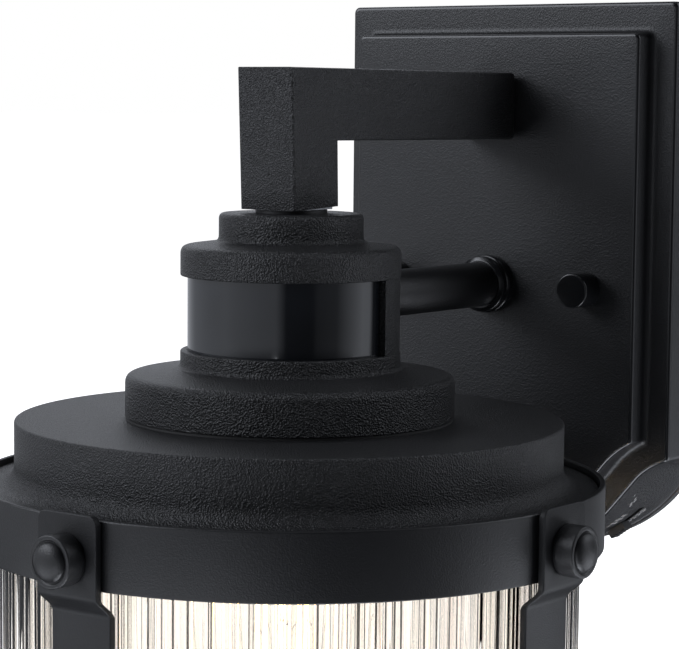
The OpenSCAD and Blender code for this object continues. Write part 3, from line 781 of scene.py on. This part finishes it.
def make_head():
    """Top and foot of the sensor head, and the pillar behind that joins them."""
    top = head_high.z
    foot = head_low.z
    shell = 2.2 * MM
    bore = 5.1 * MM
    step_z = 20.2 * MM
    tier_z = 18.6 * MM
    crown = rounded([
        (bore, top - shell, 0), (bore, top, 0), (CROWN_R, top - 0.1 * MM, 1.9 * MM),
        (CROWN_R, step_z, 2.0 * MM), (HEAD_R, tier_z, 2.8 * MM), (HEAD_R, WINDOW_TOP, 0.5 * MM),
        (HEAD_R - shell, WINDOW_TOP, 0), (HEAD_R - shell, 16 * MM, 0),
        (CROWN_R - shell, 17.6 * MM, 0), (CROWN_R - shell, top - shell, 0)], 7)
    install(lathe("head_top", crown, GRAIN, at_axis(), 180), "fixture", "head_plastic", "sensor_housing")
    rim_z = WINDOW_FOOT
    root_z = -20.4 * MM
    edge_z = -22.6 * MM
    base = rounded([
        (HEAD_R, rim_z, 0.6 * MM), (HEAD_R, root_z, 1.8 * MM), (FLANGE_R, edge_z, 3.0 * MM),
        (FLANGE_R, foot, 0.7 * MM), (FLANGE_R - shell, foot, 0), (FLANGE_R - shell, -26 * MM, 0),
        (HEAD_R - shell, -23.2 * MM, 0), (HEAD_R - shell, rim_z, 0)], 8)
    install(lathe("head_foot", base, GRAIN, at_axis(), 220), "fixture", "head_plastic")
    lap = 0.4 * MM
    inner = HEAD_R - 4 * MM
    outer = HEAD_R - 0.3 * MM
    pillar = rounded([
        (inner, rim_z - lap, 0), (outer, rim_z - lap, 0),
        (outer, WINDOW_TOP + lap, 0), (inner, WINDOW_TOP + lap, 0)])
    reach = (180 - LENS_ANGLE / 2) / 2
    install(lathe("head_pillar", pillar, GRAIN, at_axis(), 90, (90 - 2 * reach, 90 + 2 * reach)),
            "fixture", "head_plastic")


make_head()


def make_lens():
    """Curved window, a hair shorter at both ends than its opening."""
    inner = LENS_R - 2 * MM
    play = 0.2
    profile = rounded([
        (inner, lens_low.z, 0), (LENS_R, lens_low.z, 0.3 * MM), (LENS_R, lens_high.z, 0.3 * MM),
        (inner, lens_high.z, 0)], 3)
    sweep = (270 - LENS_ANGLE / 2 + play, 270 + LENS_ANGLE / 2 - play)
    obj = lathe("sensor_window", profile, LENS, at_axis(), 140, sweep)
    install(obj, "fixture", "lens_plastic", "sensor_lens")


make_lens()


# ---- Lid, band and ring

def make_lid():
    """Cast lid: flat top, straight wall, hollow cove and a thin flange sunk into the band."""
    top = lid_high.z
    seat = lid_low.z
    wall = 1.8 * MM
    bore = 5.1 * MM
    ledge_r = 79.5 * MM
    ledge_h = 6 * MM
    cove = 6.0 * MM
    rim = 0.5 * MM
    cove_z = seat + 2 * rim + cove
    bend = math.radians(86)
    profile = [(bore, top - wall, 0), (bore, top, 0), (LID_R, top, 0.9 * MM)]
    for p in arc_points(LID_R + cove, cove_z, cove, math.pi, math.pi + bend, 12):
        profile.append((p.x, p.y, 0))
    for p in arc_points(LID_RIM_R - rim, seat + rim, rim, bend, 0, 8):
        profile.append((p.x, p.y, 0))
    profile += [(LID_RIM_R, seat, 0), (ledge_r, seat, 0), (ledge_r, seat + ledge_h, 0),
                (LID_R - wall, seat + ledge_h + 4 * MM, 0), (LID_R - wall, top - wall, 0)]
    lid = lathe("lid", rounded(profile), CRISP, at_axis(), 256)
    install(lid, "fixture", "black_coat", "lantern_lid")


make_lid()


def make_hoop(name, node, lip, drop=0.0, upside_down=False):
    """Band or ring: a wall with a flange inward to a radius, dropped below the wall's edge."""
    low, high, _ = size_of(node)
    sheet = 1.8 * MM
    inner = BAND_R - sheet
    height = high.z - low.z
    corners = [(BAND_R, -height, 0.6 * MM), (BAND_R, 0, 0.7 * MM)]
    if drop > 0:
        corners += [(inner, 0, 0.5 * MM), (inner, -drop, 0)]
    corners += [(lip, -drop, 0.3 * MM), (lip, -drop - sheet, 0.3 * MM),
                (inner, -drop - sheet, 0.4 * MM), (inner, -height, 0.5 * MM)]
    place = at_axis(0, high.z)
    if upside_down:
        place = at_axis(0, low.z) @ Matrix.Scale(-1, 4, (0, 0, 1))
    install(lathe(name, rounded(corners, 4), COAT, place, 256), "fixture", "black_coat", node)


make_hoop("upper_band", "top_band", 80 * MM, drop=band_high.z - lid_low.z)
make_hoop("lower_ring", "bottom_ring", 84 * MM, upside_down=True)


# ---- Straps, knobs and rivets

for side in SIDES:
    refine("strap_" + side, MATT, 0.6 * MM, 4)


def make_knob(side):
    """Thumb knob: a round rim, a fine groove and a dome, with a blind hole for its stud."""
    node = "knob_" + side
    low, high, mid = size_of(node)
    radius = (high.z - low.z) / 2
    upright = at_axis(SIDES[side]).inverted()
    tip, back = sorted((upright @ p).y for p in (low, high))
    place = at_axis(SIDES[side]) @ facing_out(0, mid.z, back)
    rim = 7.0 * MM
    dome = 0.76 * radius
    groove = 0.35 * MM
    dome_h = back - tip - rim + groove
    bore = 2.05 * MM
    bore_end = 5.2 * MM
    outline = rounded([
        (bore, 0, 0), (radius - 0.2 * MM, 0, 0.6 * MM), (radius, 1.2 * MM, 0.6 * MM),
        (radius, rim, 1.0 * MM), (dome + 0.7 * MM, rim, 0.5 * MM),
        (dome + 0.2 * MM, rim - groove, 0.3 * MM)], 5, closed=False)
    for k in range(13):
        a = math.pi / 2 * k / 12
        outline.append(Vector((dome * math.cos(a), rim - groove + dome_h * math.sin(a))))
    outline[-1].x = 0.0
    outline += [Vector((0, bore_end)), Vector((bore, bore_end))]
    install(lathe(node + "_cap", outline, COAT, place, 96), node, "black_coat", node)


for side in SIDES:
    make_knob(side)
refine("strap_rivets", COAT, 0.0)


# ---- Glass

RIBS = 190
RIB_DEPTH = 1.0 * MM
POINTS_PER_RIB = 8
WAVE_DEPTH = 0.16 * MM


def make_glass():
    """Pressed glass tube: uneven convex ribs outside, a softer set of waves inside."""
    widths = [0.55 + 0.9 * RNG.random() for _ in range(RIBS)]
    total = sum(widths)
    inner = GLASS_R - GLASS_T
    angles, outer_r, inner_r = [], [], []
    start = 0.0
    for width in widths:
        depth = RIB_DEPTH * (0.35 + 0.65 * RNG.random()) * min(1.0, width)
        for k in range(POINTS_PER_RIB):
            t = k / POINTS_PER_RIB
            angles.append(2 * math.pi * (start + width * t) / total)
            outer_r.append(GLASS_R - depth * (1 - math.sqrt(1 - 0.97 * (2 * t - 1) ** 2)))
        start += width
    for a in angles:
        wave = math.sin(61 * a + 1.3) + 0.7 * math.sin(97 * a) + 0.5 * math.sin(23 * a + 0.4)
        inner_r.append(inner + WAVE_DEPTH * wave)
    bm = bmesh.new()
    inset = 0.8 * MM

    def ring(z, radii, shrink=0.0):
        """One loop of vertices round the glass."""
        return [bm.verts.new(((r - shrink) * math.cos(a), AXIS_Y + (r - shrink) * math.sin(a), z))
                for a, r in zip(angles, radii)]

    rings = [ring(glass_low.z, outer_r, inset), ring(glass_low.z + inset, outer_r),
             ring(glass_high.z - inset, outer_r), ring(glass_high.z, outer_r, inset),
             ring(glass_high.z, inner_r), ring(glass_low.z, inner_r)]
    join_loops(bm, rings + rings[:1])
    shade = finish_mesh("ribbed_shade", bm, GLASS, 75)
    shade.visible_shadow = False
    install(shade, "fixture", "clear_glass", "glass_shade")


make_glass()


# ---- Parts that keep their CAD shape

CAD_LOOKS = {
    "wall_gasket": RUBBER, "wall_bracket": ZINC, "mount_studs": ZINC, "stud_nuts": ZINC,
    "ground_screw": GREEN, "arm_plug": ZINC, "arm_plate": ZINC, "arm_screws": ZINC,
    "post_plug": ZINC, "stem": ZINC, "post_washer": COAT, "lid_nut": ZINC, "conduit_nut": ZINC,
    "sensor_board": BOARD, "sensor_detectors": ZINC, "sensor_base": PLASTIC,
    "sensor_screws": ZINC, "head_gasket": RUBBER, "lid_screws": ZINC, "knob_studs": ZINC,
    "glass_top_gasket": RUBBER, "glass_foot_gasket": RUBBER, "holder_cap": ZINC,
    "holder_body": PORCELAIN, "holder_shell": BRASS, "holder_contact": BRASS,
    "lamp_cap": NICKEL, "lamp_tip": BRASS, "lamp_glass": BULB, "lamp_support": BULB,
    "lamp_filaments": FILAMENT, "switch_body": PLASTIC, "time_slider": PLASTIC,
    "relay_module": PLASTIC, "module_screws": ZINC, "sensor_wires": WIRE, "lamp_wires": WIRE,
    "wire_connectors": CONNECTOR,
}
for node, material in CAD_LOOKS.items():
    mesh = frame["nodes"][node].data
    mesh.materials.clear()
    mesh.materials.append(material)


# ---- Floor, light and camera

# How far the floor is below the lantern, and how far away the softboxes are
FLOOR_DROP = 60 * MM
STUDIO_FAR = 2.6


def make_floor():
    """Large pale floor that stays white behind the object and throws no light back on to it."""
    p = Paint("floor")
    speckle = p.noise(40, 3)
    colour = p.ramp(speckle, "Fac", [(0.3, (0.9, 0.9, 0.9)), (0.7, (0.94, 0.94, 0.94))])
    p.link(colour, "Color", p.shader, "Base Color")
    p.link(colour, "Color", p.shader, "Emission Color")
    p.shader.inputs["Emission Strength"].default_value = 1.12
    p.shader.inputs["Roughness"].default_value = 0.9
    bm = bmesh.new()
    bmesh.ops.create_grid(bm, x_segments=2, y_segments=2, size=40)
    for v in bm.verts:
        v.co.z = cad_box[0][2] - FLOOR_DROP
    floor = finish_mesh("floor", bm, p.material)
    floor.visible_diffuse = False
    floor.visible_glossy = False
    floor.visible_shadow = False


SOFTBOXES = {
    # name: azimuth from the front, height, width and tall angle in degrees, radiance
    "key": (-45, 32, 45, 34, 3.3),
    "front_bounce": (-22, -36, 88, 30, 1.55),
    "right_upper": (135, 32, 45, 34, 1.45),
    "right_bounce": (135, -32, 45, 34, 1.8),
    "left_upper": (-135, 32, 45, 34, 0.85),
    "overhead": (-90, 80, 60, 60, 0.25),
    "underneath": (70, -76, 36, 36, 5.0),
}
# Colour of all the studio's light
COOL = (0.95, 0.99, 1.08)


def add_softboxes():
    """Rectangular lights on a sphere round the lantern, sized by the angle they fill."""
    heart = Vector((0, AXIS_Y, -20 * MM))
    for name, (azimuth, height, wide, tall, radiance) in SOFTBOXES.items():
        a, h = math.radians(azimuth), math.radians(height)
        towards = Vector((math.sin(a) * math.cos(h), -math.cos(a) * math.cos(h), math.sin(h)))
        data = bpy.data.lights.new(name, "AREA")
        data.shape = "RECTANGLE"
        data.size = 2 * STUDIO_FAR * math.tan(math.radians(wide / 2))
        data.size_y = 2 * STUDIO_FAR * math.tan(math.radians(tall / 2))
        data.energy = 4 * data.size * data.size_y * radiance
        data.color = COOL
        light = bpy.data.objects.new(name, data)
        light.location = heart + STUDIO_FAR * towards
        light.rotation_euler = (-towards).to_track_quat("-Z", "Y").to_euler()
        light.visible_camera = False
        light.visible_transmission = False
        bpy.context.scene.collection.objects.link(light)


LAMP_WATTS = 0.04


def add_lamp_glow():
    """Warm light from the lamp's filaments, which its glass lets through."""
    frame["nodes"]["lamp_glass"].visible_shadow = False
    data = bpy.data.lights.new("lamp_glow", "POINT")
    data.energy = LAMP_WATTS
    data.color = (1.0, 0.68, 0.36)
    data.shadow_soft_size = 8 * MM
    glow = bpy.data.objects.new("lamp_glow", data)
    glow.location = size_of("lamp_filaments")[2]
    glow.visible_camera = False
    glow.visible_transmission = False
    bpy.context.scene.collection.objects.link(glow)


# Brightness of the studio wall at eye level: azimuth from the front in degrees, radiance
WALL = ((-180, 0.36), (-135, 0.50), (-95, 0.34), (-38, 0.68), (4, 0.50), (22, 0.46), (33, 0.04),
        (62, 0.04), (68, 0.11), (90, 0.16), (105, 0.46), (125, 0.85), (136, 0.72), (142, 0.02),
        (160, 0.02), (180, 0.30))
# The wall fades out between these heights in degrees, above and below eye level
WALL_FULL = 12
WALL_GONE = 18
DIM_WORLD = 0.01


def make_world():
    """White behind everything and through the glass. Reflections show an uneven pale wall."""
    world = bpy.data.worlds.new("studio")
    world.use_nodes = True
    tree = world.node_tree
    background = tree.nodes["Background"]

    def maths(operation, *values):
        """Result of a sum on numbers and other results."""
        node = tree.nodes.new("ShaderNodeMath")
        node.operation = operation
        for socket, value in zip(node.inputs, values):
            if isinstance(value, float):
                socket.default_value = value
            else:
                tree.links.new(value, socket)
        return node.outputs["Value"]

    direction = tree.nodes.new("ShaderNodeTexCoord")
    split = tree.nodes.new("ShaderNodeSeparateXYZ")
    tree.links.new(direction.outputs["Generated"], split.inputs["Vector"])
    forward = maths("MULTIPLY", split.outputs["Y"], -1.0)
    azimuth = maths("ARCTAN2", split.outputs["X"], forward)
    wall = tree.nodes.new("ShaderNodeValToRGB")
    while len(wall.color_ramp.elements) < len(WALL):
        wall.color_ramp.elements.new(0.5)
    for element, (angle, radiance) in zip(wall.color_ramp.elements, WALL):
        element.position = (angle + 180) / 360
        element.color = (*(radiance * c for c in COOL), 1.0)
    tree.links.new(maths("MULTIPLY_ADD", azimuth, 0.5 / math.pi, 0.5), wall.inputs["Fac"])
    height = maths("ABSOLUTE", maths("ARCSINE", split.outputs["Z"]))
    level = tree.nodes.new("ShaderNodeMapRange")
    level.interpolation_type = "SMOOTHSTEP"
    level.inputs["From Min"].default_value = math.radians(WALL_GONE)
    level.inputs["From Max"].default_value = math.radians(WALL_FULL)
    tree.links.new(height, level.inputs["Value"])
    path = tree.nodes.new("ShaderNodeLightPath")
    seen = maths("MAXIMUM", path.outputs["Is Camera Ray"], path.outputs["Is Transmission Ray"])

    def mix(factor, a, b):
        """Blend of two colours, each a tuple or another result."""
        node = tree.nodes.new("ShaderNodeMix")
        node.data_type = "RGBA"
        tree.links.new(factor, node.inputs["Factor"])
        for index, value in ((6, a), (7, b)):
            if isinstance(value, tuple):
                node.inputs[index].default_value = value
            else:
                tree.links.new(value, node.inputs[index])
        return node.outputs[2]

    dim = (*(DIM_WORLD * c for c in COOL), 1.0)
    lit = mix(level.outputs["Result"], dim, wall.outputs["Color"])
    tree.links.new(mix(seen, lit, (1.0, 1.0, 1.0, 1.0)), background.inputs["Color"])
    bpy.context.scene.world = world
    bpy.context.scene.view_settings.view_transform = "Standard"


CAM_YAW = math.radians(36.81)
CAM_PITCH = math.radians(5.48)
CAM_ROLL = math.radians(0.54)
CAM_PLACE = Vector((462.6, -767.4, 65.5)) * MM
CAM_LENS = 124.5
CAM_SENSOR = 36


def make_camera():
    """Camera to the right of the front, looking a little down at the upper half."""
    forward = Vector((-math.sin(CAM_YAW) * math.cos(CAM_PITCH),
                      math.cos(CAM_YAW) * math.cos(CAM_PITCH), -math.sin(CAM_PITCH)))
    right = Vector((math.cos(CAM_YAW), math.sin(CAM_YAW), 0))
    up = right.cross(forward)
    rolled = math.cos(CAM_ROLL) * right + math.sin(CAM_ROLL) * up
    upright = -math.sin(CAM_ROLL) * right + math.cos(CAM_ROLL) * up
    data = bpy.data.cameras.new("camera")
    data.lens = CAM_LENS
    data.sensor_width = CAM_SENSOR
    data.clip_start = 0.01
    camera = bpy.data.objects.new("camera", data)
    turn = Matrix((rolled, upright, -forward)).transposed()
    camera.matrix_world = Matrix.Translation(CAM_PLACE) @ turn.to_4x4()
    bpy.context.scene.collection.objects.link(camera)
    bpy.context.scene.camera = camera


make_floor()
make_world()
add_softboxes()
add_lamp_glow()
make_camera()
